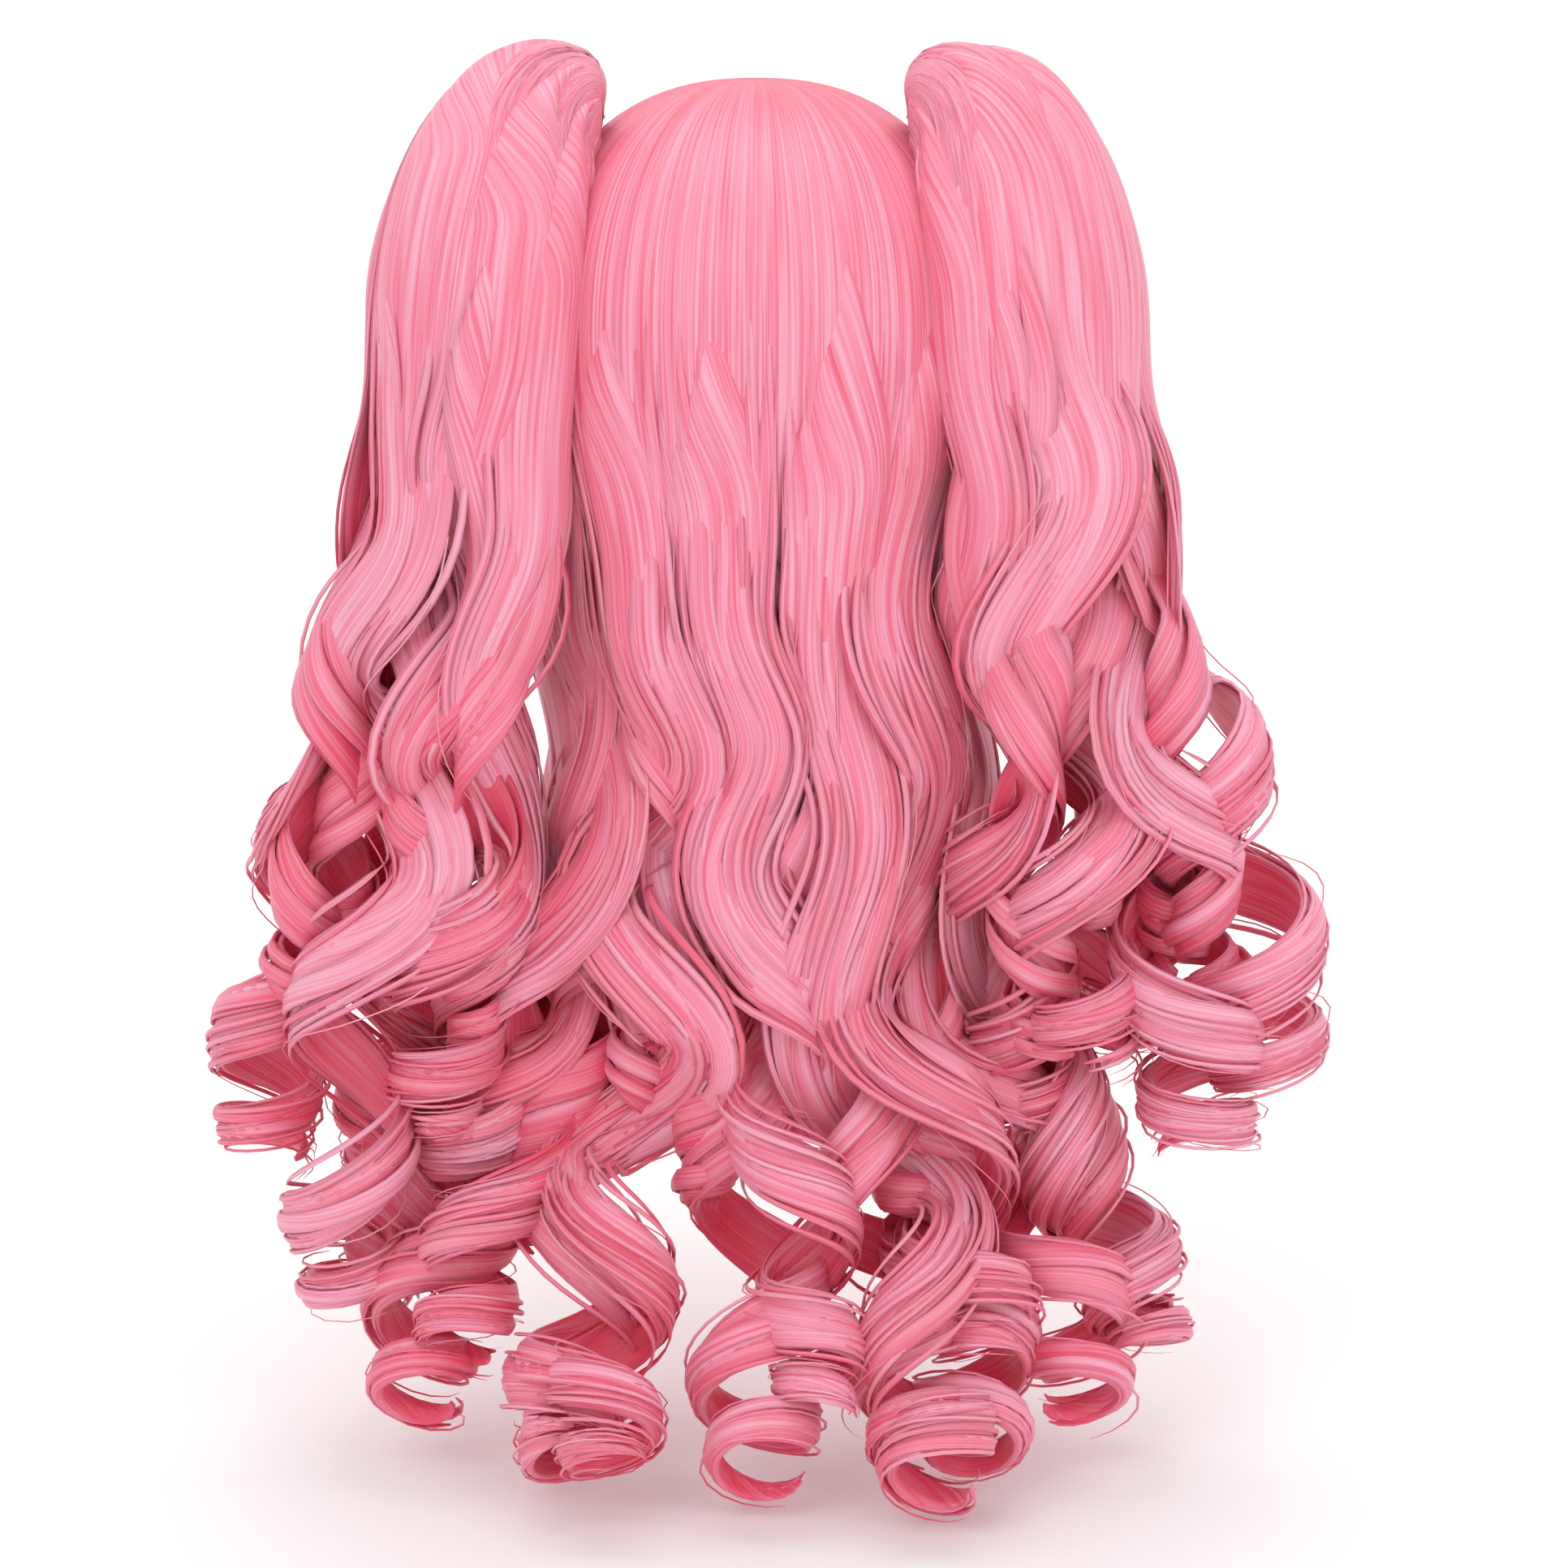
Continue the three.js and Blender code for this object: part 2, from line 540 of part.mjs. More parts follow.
function backHairSolid() {
  const locks = BACK_LOCKS.map((lock) => lockSolid(lock, fallPlace));
  const hanging = fuse(locks)
    .subtract(headBlock(HAIR_INSIDE))
    .subtract(pigtailHair(-1, LEFT_LOCKS, LOCK_GAP))
    .subtract(pigtailHair(1, RIGHT_LOCKS, LOCK_GAP));
  return mainBody(backCrownSolid().add(hanging));
}

const FINISHES = {
  cap: { color: 0xd98aa0, roughness: 0.9, metalness: 0 },
  hair: { color: 0xf690ae, roughness: 0.45, metalness: 0 },
  clip: { color: 0xe9b9c4, roughness: 0.35, metalness: 0 },
};

function addPiece(group, name, solid, finish) {
  const mesh = solid.getMesh();
  const geometry = new THREE.BufferGeometry();
  geometry.setAttribute('position', new THREE.BufferAttribute(mesh.vertProperties, 3));
  geometry.setIndex(new THREE.BufferAttribute(mesh.triVerts, 1));
  geometry.computeVertexNormals();
  const piece = new THREE.Mesh(geometry, new THREE.MeshStandardMaterial(finish));
  piece.name = name;
  group.add(piece);
}

const wig = new THREE.Group();
addPiece(wig, 'cap', capSolid(), FINISHES.cap);
addPiece(wig, 'back_hair', backHairSolid(), FINISHES.hair);
addPiece(wig, 'front_hair', frontHairSolid(), FINISHES.hair);
addPiece(wig, 'clip_left', clipSolid(-1), FINISHES.clip);
addPiece(wig, 'clip_right', clipSolid(1), FINISHES.clip);
addPiece(wig, 'pigtail_left', pigtailSolid(-1, LEFT_LOCKS), FINISHES.hair);
addPiece(wig, 'pigtail_right', pigtailSolid(1, RIGHT_LOCKS), FINISHES.hair);

export default wig;
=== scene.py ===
import math
import bmesh
import bpy
import numpy as np
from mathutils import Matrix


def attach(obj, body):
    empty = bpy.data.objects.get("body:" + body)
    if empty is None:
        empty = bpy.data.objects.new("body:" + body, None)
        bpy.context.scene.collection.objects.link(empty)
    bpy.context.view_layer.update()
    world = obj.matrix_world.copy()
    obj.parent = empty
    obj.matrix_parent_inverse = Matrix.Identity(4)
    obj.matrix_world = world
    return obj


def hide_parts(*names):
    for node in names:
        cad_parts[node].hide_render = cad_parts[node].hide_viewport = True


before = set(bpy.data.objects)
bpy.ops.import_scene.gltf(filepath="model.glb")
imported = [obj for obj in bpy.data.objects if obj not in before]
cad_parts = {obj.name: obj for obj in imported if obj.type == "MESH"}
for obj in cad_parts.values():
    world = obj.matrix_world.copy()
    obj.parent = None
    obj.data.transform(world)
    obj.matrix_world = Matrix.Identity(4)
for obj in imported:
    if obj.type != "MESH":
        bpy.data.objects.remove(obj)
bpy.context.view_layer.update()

# The net cap
# A stretch net shell carries all of the hair. It is open round the face and neck, its edge is
# bound with elastic tape, and the wefts of hair are sewn to it in rows. The back faces -Y.

HEAD_HALF_WIDTH = 0.076
HEAD_HALF_DEPTH = 0.095
CROWN_HEIGHT = 0.092
NAPE_HEIGHT = 0.118
HEAD_FULLNESS = 2.3
WHORL_LEAN = math.radians(12)
CAP_WALL = 0.002
NAPE_RIM = math.radians(150)
BROW_RIM = math.radians(54)
WEFT_ROWS = 26
WEFT_RIDGE = 0.0004
TAPE_SHARE = 0.05
TAPE_RIDGE = 0.0007


def smooth(value, low, high):
    share = np.clip((value - low) / (high - low), 0, 1)
    return share * share * (3 - 2 * share)


def head_point(turn, polar, out):
    """The head form grown by out. Turn 0 is the back, and polar is counted from the whorl."""
    x = np.sin(polar) * np.sin(turn)
    flat_y = -np.sin(polar) * np.cos(turn)
    flat_z = np.cos(polar) + 0 * turn
    y = flat_y * math.cos(WHORL_LEAN) + flat_z * math.sin(WHORL_LEAN)
    z = flat_z * math.cos(WHORL_LEAN) - flat_y * math.sin(WHORL_LEAN)
    height = np.where(z > 0, CROWN_HEIGHT, NAPE_HEIGHT)
    total = (
        np.abs(x / (HEAD_HALF_WIDTH + out)) ** HEAD_FULLNESS
        + np.abs(y / (HEAD_HALF_DEPTH + out)) ** HEAD_FULLNESS
        + np.abs(z / (height + out)) ** HEAD_FULLNESS
    )
    reach = total ** (-1 / HEAD_FULLNESS)
    return np.stack([x * reach, y * reach, z * reach - CROWN_HEIGHT], axis=-1)


def rim_angle(turn):
    return BROW_RIM + (NAPE_RIM - BROW_RIM) * (1 + np.cos(turn)) / 2


def finish_mesh(name, made):
    """Merge a bmesh's doubles, turn its faces outwards and put it in the scene as an object."""
    bmesh.ops.remove_doubles(made, verts=made.verts, dist=1e-6)
    bmesh.ops.recalc_face_normals(made, faces=made.faces)
    mesh = bpy.data.meshes.new(name)
    made.to_mesh(mesh)
    made.free()
    mesh.polygons.foreach_set("use_smooth", [True] * len(mesh.polygons))
    piece = bpy.data.objects.new(name, mesh)
    bpy.context.scene.collection.objects.link(piece)
    return piece


def bent_sheet(name, columns, rows, turns, shares, skin, lining=None, root_painted_shade=0.0):
    """A grid bent to skin(turn, share), and given a wall down to lining(turn, share).

    The map strands holds metres round the head and down the hair, and a value at each point how
    light a strand is, less at share 0 by the given root shade, a painted shade at the root of the
    hair by the whorl and by a pigtail's clip."""
    made = bmesh.new()
    bmesh.ops.create_grid(made, x_segments=columns, y_segments=rows, size=0.5)
    strands = made.loops.layers.uv.new("strands")
    tone_and_painted_shade = made.verts.layers.float.new("tone_and_painted_shade")
    turn_of = made.verts.layers.float.new("turn")
    share_of = made.verts.layers.float.new("share")
    for corner in made.verts:
        corner[turn_of] = turns[0] + (turns[1] - turns[0]) * (corner.co.x + 0.5)
        corner[share_of] = shares[0] + (shares[1] - shares[0]) * (corner.co.y + 0.5)
        # Painted shade: darker toward share 0, at the whorl on the crown and at the clip on a hump
        corner[tone_and_painted_shade] = 0.5 - root_painted_shade * (1 - smooth(corner[share_of], 0.02, 0.42))
    for face in made.faces:
        for corner in face.loops:
            corner[strands].uv = (corner.vert[turn_of] * 0.08, corner.vert[share_of] * 0.2)

    def move(corners, form):
        turn = np.array([corner[turn_of] for corner in corners])
        share = np.array([corner[share_of] for corner in corners])
        for corner, place in zip(corners, form(turn, share)):
            corner.co = place

    move(made.verts, skin)
    if lining:
        bmesh.ops.remove_doubles(made, verts=made.verts, dist=1e-5)
        wall = bmesh.ops.extrude_face_region(made, geom=made.faces[:])["geom"]
        move([corner for corner in wall if isinstance(corner, bmesh.types.BMVert)], lining)
    return finish_mesh(name, made)


class Wire:
    """An output in a material's nodes. Sums written on wires add Math nodes."""

    def __init__(self, tree, socket):
        self.tree = tree
        self.socket = socket

    def node(self, kind, settings, values, output=0):
        """Add a node: first its settings, then the values or wires of its sockets."""
        made = self.tree.nodes.new("ShaderNode" + kind)
        for name, value in settings.items():
            if name == "stops":
                for stop, (place, colour) in zip(made.color_ramp.elements, value):
                    stop.position = place
                    stop.color = colour
            else:
                setattr(made, name, value)
        for name, value in values.items():
            if isinstance(value, Wire):
                self.tree.links.new(value.socket, made.inputs[name])
            else:
                made.inputs[name].default_value = value
        return Wire(self.tree, made.outputs[output])

    def sum(self, operation, one, other):
        return self.node("Math", {"operation": operation}, {0: one, 1: other})

    def __add__(self, other):
        return self.sum("ADD", self, other)

    __radd__ = __add__

    def __sub__(self, other):
        return self.sum("SUBTRACT", self, other)

    def __rsub__(self, other):
        return self.sum("SUBTRACT", other, self)

    def __mul__(self, other):
        return self.sum("MULTIPLY", self, other)

    __rmul__ = __mul__


def new_finish(name):
    """A material, its first wire (Object coordinates) and its Principled node."""
    material = bpy.data.materials.new(name)
    material.use_nodes = True
    tree = material.node_tree
    place = Wire(tree, tree.nodes.new("ShaderNodeTexCoord").outputs["Object"])
    return material, place, tree.nodes["Principled BSDF"]


def finish_from(shader, **wires):
    """Link wires to the Principled node's sockets, named with _ for a space."""
    for name, wire in wires.items():
        wire.tree.links.new(wire.socket, shader.inputs[name.replace("_", " ")])


def linear(red, green, blue):
    """A colour as picked on a screen, in Blender's linear values."""
    channels = [channel / 255 for channel in (red, green, blue)]
    return [*(c / 12.92 if c <= 0.04045 else ((c + 0.055) / 1.055) ** 2.4 for c in channels), 1]


def net_skin(turn, share):
    weft = WEFT_RIDGE * np.abs(np.sin(share * WEFT_ROWS * math.pi)) ** 6
    return head_point(turn, share * rim_angle(turn), CAP_WALL - WEFT_RIDGE + weft)


def net_lining(turn, share):
    tape = TAPE_RIDGE * smooth(share, 1 - TAPE_SHARE, 1 - TAPE_SHARE * 0.8)
    return head_point(turn, share * rim_angle(turn), tape)


cap_net = bent_sheet("cap_net", 96, 78, (-math.pi, math.pi), (0, 1), net_skin, net_lining)

net_finish, place, shader = new_finish("stretch_net")
holes = place.node("TexVoronoi", {"feature": "DISTANCE_TO_EDGE"}, {"Vector": place, "Scale": 420})
thread = holes.node(
    "MapRange", {}, {"Value": holes, "From Min": 0.0, "From Max": 0.22, "To Min": 1.0, "To Max": 0.0})
patch = place.node("TexNoise", {}, {"Vector": place, "Scale": 60.0, "Detail": 3.0})
net_colour = place.node(
    "Mix", {"data_type": "RGBA"},
    {0: thread * 0.8 + patch * 0.2, 6: linear(150, 74, 92), 7: linear(226, 152, 170)}, 2)
finish_from(
    shader,
    Base_Color=net_colour,
    Roughness=patch * 0.2 + 0.7,
    Normal=place.node("Bump", {}, {"Strength": 0.6, "Distance": 0.0004, "Height": thread}))
shader.inputs["Sheen Weight"].default_value = 0.2
cap_net.data.materials.append(net_finish)
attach(cap_net, "root")
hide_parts("cap")

# The hair on the back of the cap, with the curled locks that hang from it
# Glossy heat-set fibre runs from the whorl over the net, gathers into wide locks below the
# crown, waves, and ends in loose curls that reach the table behind the head.

CROWN_HAIR = 0.009
HAIR_INSIDE = 0.0024
HAIR_OUTSIDE = HAIR_INSIDE + CROWN_HAIR
HAIR_HALF_WIDTH = HEAD_HALF_WIDTH + HAIR_OUTSIDE
HAIR_HALF_DEPTH = HEAD_HALF_DEPTH + HAIR_OUTSIDE
WHORL = math.radians(0.4)
HAIR_OVER_RIM = math.radians(3)
HAIR_LENGTH = 0.466
HAIR_WRAP = math.radians(70)
LAYER_STEP = 0.010
WAVY_LENGTH = 0.330
TIP_PITCH = 0.048
RING_LENGTH = 0.042
RING_TURNS = 0.9
TIGHTENING_LENGTH = 0.190
WAVED_SHARE = 0.5
CURLED_SHARE = 0.72
WAVE_FLATNESS = 0.5
WAVE_ARCH = 0.035
CURL_ARCH = 0.017
CURL_NARROWING = 0.28
RING_NARROWING = 0.35
TIP_LENGTH = 0.05
START_LENGTH = 0.10
POINT_LENGTH = 0.006
THIN_SHARE = 0.12
WANDER = 0.0012
PHASE_CHANCE = 0.016
SIZE_CHANCE = 0.035
SHORT_CHANCE = 0.003
EDGE_SINK = 0.004
UNDER_SINK = 0.006
# Painted shade on the sides of the curls turned toward the head, and on each strand's inner face
HIDDEN_SIDE_PAINTED_SHADE = 0.45
INNER_FACE_PAINTED_SHADE = 0.4
# Painted shade at the root of the hair, by the whorl and by each pigtail's clip
ROOT_PAINTED_SHADE = 0.85
HALF_GAP = 0.0004
GROOVES = (17, 29, 41, 53)
GROOVE_DEPTH = 0.00022
UNDER_LOCKS_BY = 0.0008


def rows_of(names, rows):
    """A table's rows, with their figures under the names of its columns."""
    return [dict(zip(names.split(), row)) for row in rows]


# How the hair falls. Drop is a share of HAIR_LENGTH. Wide, back and centre are shares of the
# crown hair's half width and half depth.
FALL = rows_of("drop wide back centre", [
    (0.07,  1.0,  1.0,  0.0),
    (0.13,  1.0,  1.0,  0.0),
    ( 0.2,  1.0, 1.01,  0.0),
    (0.33, 0.96, 1.02, 0.08),
    (0.46, 0.96, 1.03,  0.2),
    ( 0.6, 1.06, 1.06,  0.3),
    (0.73, 1.32, 1.14,  0.4),
    (0.85, 1.66, 1.34, 0.55),
    (0.93, 1.76,  1.6,  0.8),
    (0.96,  1.7, 1.76,  1.0),
])

# Across is a lock's place from left to right at the root, toward the same at its tip, and
# layer 0 lies on top. Root and tip are rows of FALL. Width, wave, pitch and curl are in metres:
# its width, the reach of its waves, the length of one, and the radius of its curl. Phase is
# where it starts to wave, in turns, and hand is the way it winds.
BACK_LOCK_COLUMNS = "across toward layer root tip width wave pitch curl phase hand"
TOP_LOCKS = rows_of(BACK_LOCK_COLUMNS, [
    (-0.76, -0.62, 0, 1.4, 7.5,  0.03, 0.019,  0.17, 0.018, 0.91, -1),
    (-0.42, -0.27, 0, 1.2, 8.5, 0.032,  0.02, 0.112,  0.02, 0.64,  1),
    ( -0.1,  0.12, 0, 1.6, 7.7, 0.032, 0.009,   0.1, 0.018, 0.32,  1),
    ( 0.25,  0.34, 0, 1.2, 8.9, 0.032, 0.013, 0.175, 0.021, 0.32, -1),
    ( 0.55,  0.46, 0, 1.5, 7.4, 0.032, 0.018, 0.175,  0.02, 0.48,  1),
    ( 0.84,  0.92, 0, 1.3, 7.7,  0.03,  0.01,  0.12, 0.019, 0.95, -1),
])
UNDER_LOCKS = rows_of(BACK_LOCK_COLUMNS, [
    (-0.66,  -0.8,   1, 0.0, 8.3,  0.03, 0.011,  0.12, 0.019,  0.2, -1),
    (-0.26, -0.38,   1, 0.0, 8.3,  0.03, 0.012,  0.13,  0.02,  0.9,  1),
    ( 0.22,  0.32,   1, 0.0, 8.4,  0.03, 0.012, 0.115,  0.02, 0.05, -1),
    ( 0.66,  0.76,   1, 0.0, 8.2,  0.03, 0.011, 0.125, 0.021, 0.25,  1),
    (-1.04, -1.02, 0.7, 0.0, 7.3, 0.036,  0.01,  0.13, 0.018,  0.4,  1),
    ( 1.04,  1.02, 0.7, 0.0, 7.5, 0.036,  0.01,  0.12, 0.018, 0.55, -1),
    (-0.52, -0.42,   2, 0.0, 8.9, 0.032,  0.01,  0.12, 0.022, 0.75,  1),
    (-0.06,  0.01, 1.8, 0.0, 9.0, 0.032,  0.01,  0.13, 0.023, 0.45, -1),
    ( 0.42,   0.5,   2, 0.0, 8.9, 0.032,  0.01,  0.11, 0.022,  0.1,  1),
])

# Plain locks of the lowest layer, which close the view through the hair
INNER_LOCKS = rows_of(BACK_LOCK_COLUMNS, [
    (-0.96, -0.98, 1.3, -2.0, 6.6, 0.054, 0.006, 0.13, 0.009,  0.5,  1),
    (-0.62, -0.62, 1.7, -2.0, 6.8, 0.044, 0.006, 0.12,  0.01, 0.15, -1),
    (-0.37, -0.38, 1.6, -2.0, 6.0, 0.044, 0.006, 0.14, 0.009,  0.7,  1),
    (-0.12, -0.13, 1.7, -2.0, 6.5, 0.044, 0.006, 0.13,  0.01, 0.35, -1),
    ( 0.13,  0.13, 1.6, -2.0, 6.1, 0.044, 0.006, 0.12, 0.009,  0.0,  1),
    ( 0.38,   0.4, 1.7, -2.0, 6.7, 0.044, 0.006, 0.14,  0.01,  0.6,  1),
    ( 0.63,  0.64, 1.6, -2.0, 6.3, 0.044, 0.006, 0.13, 0.009, 0.25, -1),
    ( 0.96,  0.98, 1.3, -2.0, 6.6, 0.054, 0.006, 0.12,  0.01, 0.85, -1),
])


def read_rows(rows, names, at):
    """Columns of a table, read smoothly at fractional rows."""
    table = np.array([[row[name] for name in names] for row in rows])
    last = len(rows) - 1
    low = np.clip(np.floor(at).astype(int), 0, last - 1)
    a, b, c, d = (table[np.clip(low + step, 0, last)] for step in (-1, 0, 1, 2))
    part = (at - low)[..., None]
    bow = 2 * a - 5 * b + 4 * c - d + part * (3 * (b - c) + d - a)
    return np.moveaxis(b + 0.5 * part * (c - a + part * bow), -1, 0)


def unit(vectors):
    return vectors / np.maximum(np.linalg.norm(vectors, axis=-1, keepdims=True), 1e-9)


def fall_place(lock, at):
    """Where a back lock's middle line hangs at rows of FALL, and the way out of the hair."""
    drop, wide, back, centre = read_rows(FALL, ("drop", "wide", "back", "centre"), at)
    sweep = smooth(at, lock["root"], lock["tip"])
    turn = HAIR_WRAP * (lock["across"] + (lock["toward"] - lock["across"]) * sweep)
    z = -HAIR_LENGTH * drop
    rise = np.clip(z + CROWN_HEIGHT, 0, None) / (CROWN_HEIGHT + HAIR_OUTSIDE)
    on = (1 - np.minimum(rise, 0.999) ** HEAD_FULLNESS) ** (1 / HEAD_FULLNESS)
    sunk = lock["layer"] * LAYER_STEP * smooth(at, lock["root"], 5)
    wide = HAIR_HALF_WIDTH * wide * on - sunk
    back = HAIR_HALF_DEPTH * back * on - sunk
    centre = HAIR_HALF_DEPTH * centre
    point = np.stack([wide * np.sin(turn), -centre - (back - centre) * np.cos(turn), z], axis=-1)
    out = np.stack([np.sin(turn), -np.cos(turn), 0 * turn], axis=-1)
    return point, out


def crown_place(across, at, luck, sunk):
    """Where hair lies on the crown at rows from -2, the whorl, to 2, the widest level.

    The strands come up out of the crown hair at about row 1."""
    turn = HAIR_WRAP * across + 0 * at
    polar = np.maximum((at + 2) / 4, 0.01) * (math.pi / 2 + WHORL_LEAN * np.cos(turn))
    sunk = sunk + UNDER_SINK * (1 - smooth(at + luck, -0.2, 2.6))
    return head_point(turn, polar, HAIR_OUTSIDE - sunk)


def turns_down_to(rest, pitch):
    """Turns of wave and curl down to a distance from the tip: the pitch shrinks to the tip."""
    growth = (pitch - TIP_PITCH) / TIGHTENING_LENGTH
    even = (WAVY_LENGTH - np.clip(rest, TIGHTENING_LENGTH, WAVY_LENGTH)) / pitch
    return even + np.log(pitch / (TIP_PITCH + growth * np.clip(rest, 0, TIGHTENING_LENGTH))) / growth


def spoke(out, across, angle):
    return out * np.cos(angle)[..., None] + across * np.sin(angle)[..., None]


def lock_line(lock, place, start, stations, chance):
    """A lock's middle line, its face and the rest of its length, at evenly spaced stations."""
    at = np.linspace(start, lock["tip"], 600)
    point, out = place(lock, at)
    steps = np.linalg.norm(np.diff(point, axis=0), axis=1)
    length = np.concatenate([[0], np.cumsum(steps)])
    rest = length[-1] - length
    along = unit(np.gradient(point, axis=0))
    out = unit(out - along * np.sum(out * along, axis=-1, keepdims=True))
    across = np.cross(out, along)
    wavy = 1 - np.clip(rest / WAVY_LENGTH, 0, 1)
    curly = smooth(wavy, WAVED_SHARE, CURLED_SHARE)
    radius = lock["wave"] * smooth(wavy, 0, WAVED_SHARE * 0.8) * (1 - curly) + lock["curl"] * curly
    turns = lock["phase"] + turns_down_to(rest, lock["pitch"]) + chance["phase"] * smooth(wavy, 0, 1)
    ring = 1 - np.clip(rest / RING_LENGTH, 0, 1)
    turns = turns + RING_TURNS * ring ** 2
    radius = radius * (1 - RING_NARROWING * ring)
    arm = spoke(out, across, 2 * math.pi * lock["hand"] * turns)
    flatten = (WAVE_FLATNESS - 1) * (1 - curly) * np.sum(arm * out, axis=-1)
    middle = point + (arm + out * flatten[:, None]) * (radius * chance["size"])[:, None]
    waved = turns_down_to((1 - WAVED_SHARE) * WAVY_LENGTH, lock["pitch"])
    first_facing = math.ceil(lock["phase"] + waved)
    facing = 2 * math.pi * lock["hand"] * np.clip(turns - first_facing, 0, None)
    face = spoke(out, across, facing)
    walked = np.concatenate([[0], np.cumsum(np.linalg.norm(np.diff(middle, axis=0), axis=1))])
    pick = np.linspace(0, np.interp(length[-1] - chance["short"], length, walked), stations)

    def at_stations(values):
        if values.ndim == 1:
            return np.interp(pick, walked, values)
        return np.stack([np.interp(pick, walked, column) for column in values.T], axis=-1)

    return {
        "at": at_stations(at), "middle": at_stations(middle), "face": unit(at_stations(face)),
        "rest": at_stations(rest) - chance["short"], "walked": pick, "curly": at_stations(curly),
        "shown": at_stations(np.sum(face * place(lock, at)[1], axis=-1))}


def add_strands(name, tubes):
    """One piece of all the strands: each tube is loops of points, with metres across and along
    the hair for the map strands, and for each point a lightness: the strand's own random tone
    with painted shade laid on it."""
    points, faces, strands, tints = [], [], [], []
    first = 0
    for loops, across, along, tone_and_painted_shade in tubes:
        count, corners = loops.shape[:2]
        index = first + np.arange(count * corners).reshape(count, corners)
        after = np.roll(index, -1, axis=1)
        sides = np.stack([index[:-1], after[:-1], after[1:], index[1:]], axis=-1).reshape(-1, 4)
        next_across = np.roll(across, -1, axis=1)
        next_across[:, -1] = 2 * across[:, -1] - across[:, -2]
        u = np.stack([across[:-1], next_across[:-1], next_across[1:], across[1:]], axis=-1)
        v = np.repeat(along[:, None], corners, axis=1)
        v = np.stack([v[:-1], v[:-1], v[1:], v[1:]], axis=-1)
        ends = [index[0, ::-1], index[-1]]
        points.append(loops.reshape(-1, 3))
        faces += sides.tolist() + [end.tolist() for end in ends]
        strands.append(np.stack([u.reshape(-1), v.reshape(-1)], axis=-1))
        strands.append(np.zeros((2 * corners, 2)))
        tints.append(tone_and_painted_shade.reshape(-1))
        first += count * corners
    mesh = bpy.data.meshes.new(name)
    mesh.from_pydata(np.concatenate(points), [], faces)
    mesh.polygons.foreach_set("use_smooth", [True] * len(faces))
    mesh.uv_layers.new(name="strands").data.foreach_set("uv", np.concatenate(strands).reshape(-1))
    # The point attribute holds each strand's random tone with painted shade laid on it
    mesh.attributes.new("tone_and_painted_shade", "FLOAT", "POINT").data.foreach_set("value", np.concatenate(tints))
    piece = bpy.data.objects.new(name, mesh)
    bpy.context.scene.collection.objects.link(piece)
    return piece


def strand_chance(chance, count, loose, lift):
    """All that chance decides about one strand."""
    return {
        "share": chance.uniform(-0.4, 0.4) / count,
        "phase": chance.normal(0, PHASE_CHANCE * loose),
        "size": 1 + chance.normal(0, SIZE_CHANCE * loose),
        "short": abs(chance.normal(0, SHORT_CHANCE * loose)),
        "width": chance.uniform(0.8, 1.25 if count > 1 else 1.0),
        "lift": chance.uniform(*lift),
        "gather": chance.uniform(-0.3, 0.3),
        "drift": chance.uniform(0, 2 * math.pi, 3),
        "rise": chance.uniform(-0.6, 0.6),
        "grain": chance.uniform(0, 5),
        "tone_and_painted_shade": chance.uniform(0, 1)}


def strand_section(line, strand, thickness, angle, drift):
    """A strand's half width at each station, narrowed to its start and its tip, and the places
    of its corners across it and off it, with shallow grooves along it."""
    width = strand * (0.55 + 0.45 * smooth(line["rest"], 0, TIP_LENGTH))
    width = width * np.clip(line["rest"] / POINT_LENGTH, 0.03, 1) ** 0.5 * started(line)
    thick = thickness * np.clip(width / (0.6 * strand), 0.15, 1)
    groove = 1 + 0.16 * np.cos(3 * angle + drift[1]) + 0.12 * np.cos(7 * angle + drift[2])
    return width, width[:, None] * np.cos(angle), thick[:, None] * np.sin(angle) * groove


def started(line):
    return 0.05 + 0.95 * smooth(line["walked"], 0, START_LENGTH)


def hanging_loops(line, reach, wander, wide, high, luck):
    """Loops of a strand in its hanging lock, at a reach to the side over the lock's arched face."""
    face, curly, walked = line["face"], line["curly"], line["walked"]
    side = unit(np.cross(face, unit(np.gradient(line["middle"], axis=0))))
    arch = WAVE_ARCH + (CURL_ARCH - WAVE_ARCH) * curly
    tilt = reach * (1 - 0.5 * smooth(-line["rest"], -0.06, 0)) / arch
    lean = np.cos(tilt)[:, None] * face + np.sin(tilt)[:, None] * side
    raised = arch + luck["lift"] * (1 + 0.6 * curly)
    middle = line["middle"] + lean * raised[:, None] - face * arch[:, None]
    middle = middle + side * (wander * np.sin(walked * 45 + luck["drift"][0]))[:, None]
    middle = middle + face * (wander * 0.7 * np.sin(walked * 38 + luck["drift"][2]))[:, None]
    side = unit(np.cross(lean, unit(np.gradient(middle, axis=0))))
    off = high - wide ** 2 / (2 * arch[:, None])
    return middle[:, None] + side[:, None] * wide[..., None] + lean[:, None] * off[..., None]


def lying_loops(on_surface, at, shift, fan, angle, high, rise):
    """Loops of a strand that lies on the hair, with its edges sunk where it comes up."""
    lain = np.stack([on_surface(shift + fan * turn)[0] for turn in np.cos(angle)], axis=1)
    crest = EDGE_SINK * (1 - smooth(at + rise, 0.8, 3.4))
    high = high - crest[:, None] * np.cos(angle) ** 2
    return lain + on_surface(shift)[1][:, None] * high[..., None]


def strand_tone_and_painted_shade(line, tone_and_painted_shade, angle):
    """How light a strand is: even on the crown, its own random tone below, and deeper by painted shade
    on the sides of the curls turned toward the head and on each strand's inner face.
    """
    tone_and_painted_shade = 0.5 + (tone_and_painted_shade - 0.5) * smooth(line["walked"], 0.06, 0.28)
    # Painted shade where a curl turns its side toward the head
    tone_and_painted_shade = tone_and_painted_shade - HIDDEN_SIDE_PAINTED_SHADE * (1 - smooth(line["shown"], -0.7, 0.5)) * line["curly"]
    # Painted shade on the inner face of each strand
    return tone_and_painted_shade[:, None] - INNER_FACE_PAINTED_SHADE * smooth(-np.sin(angle), 0.1, 0.9)


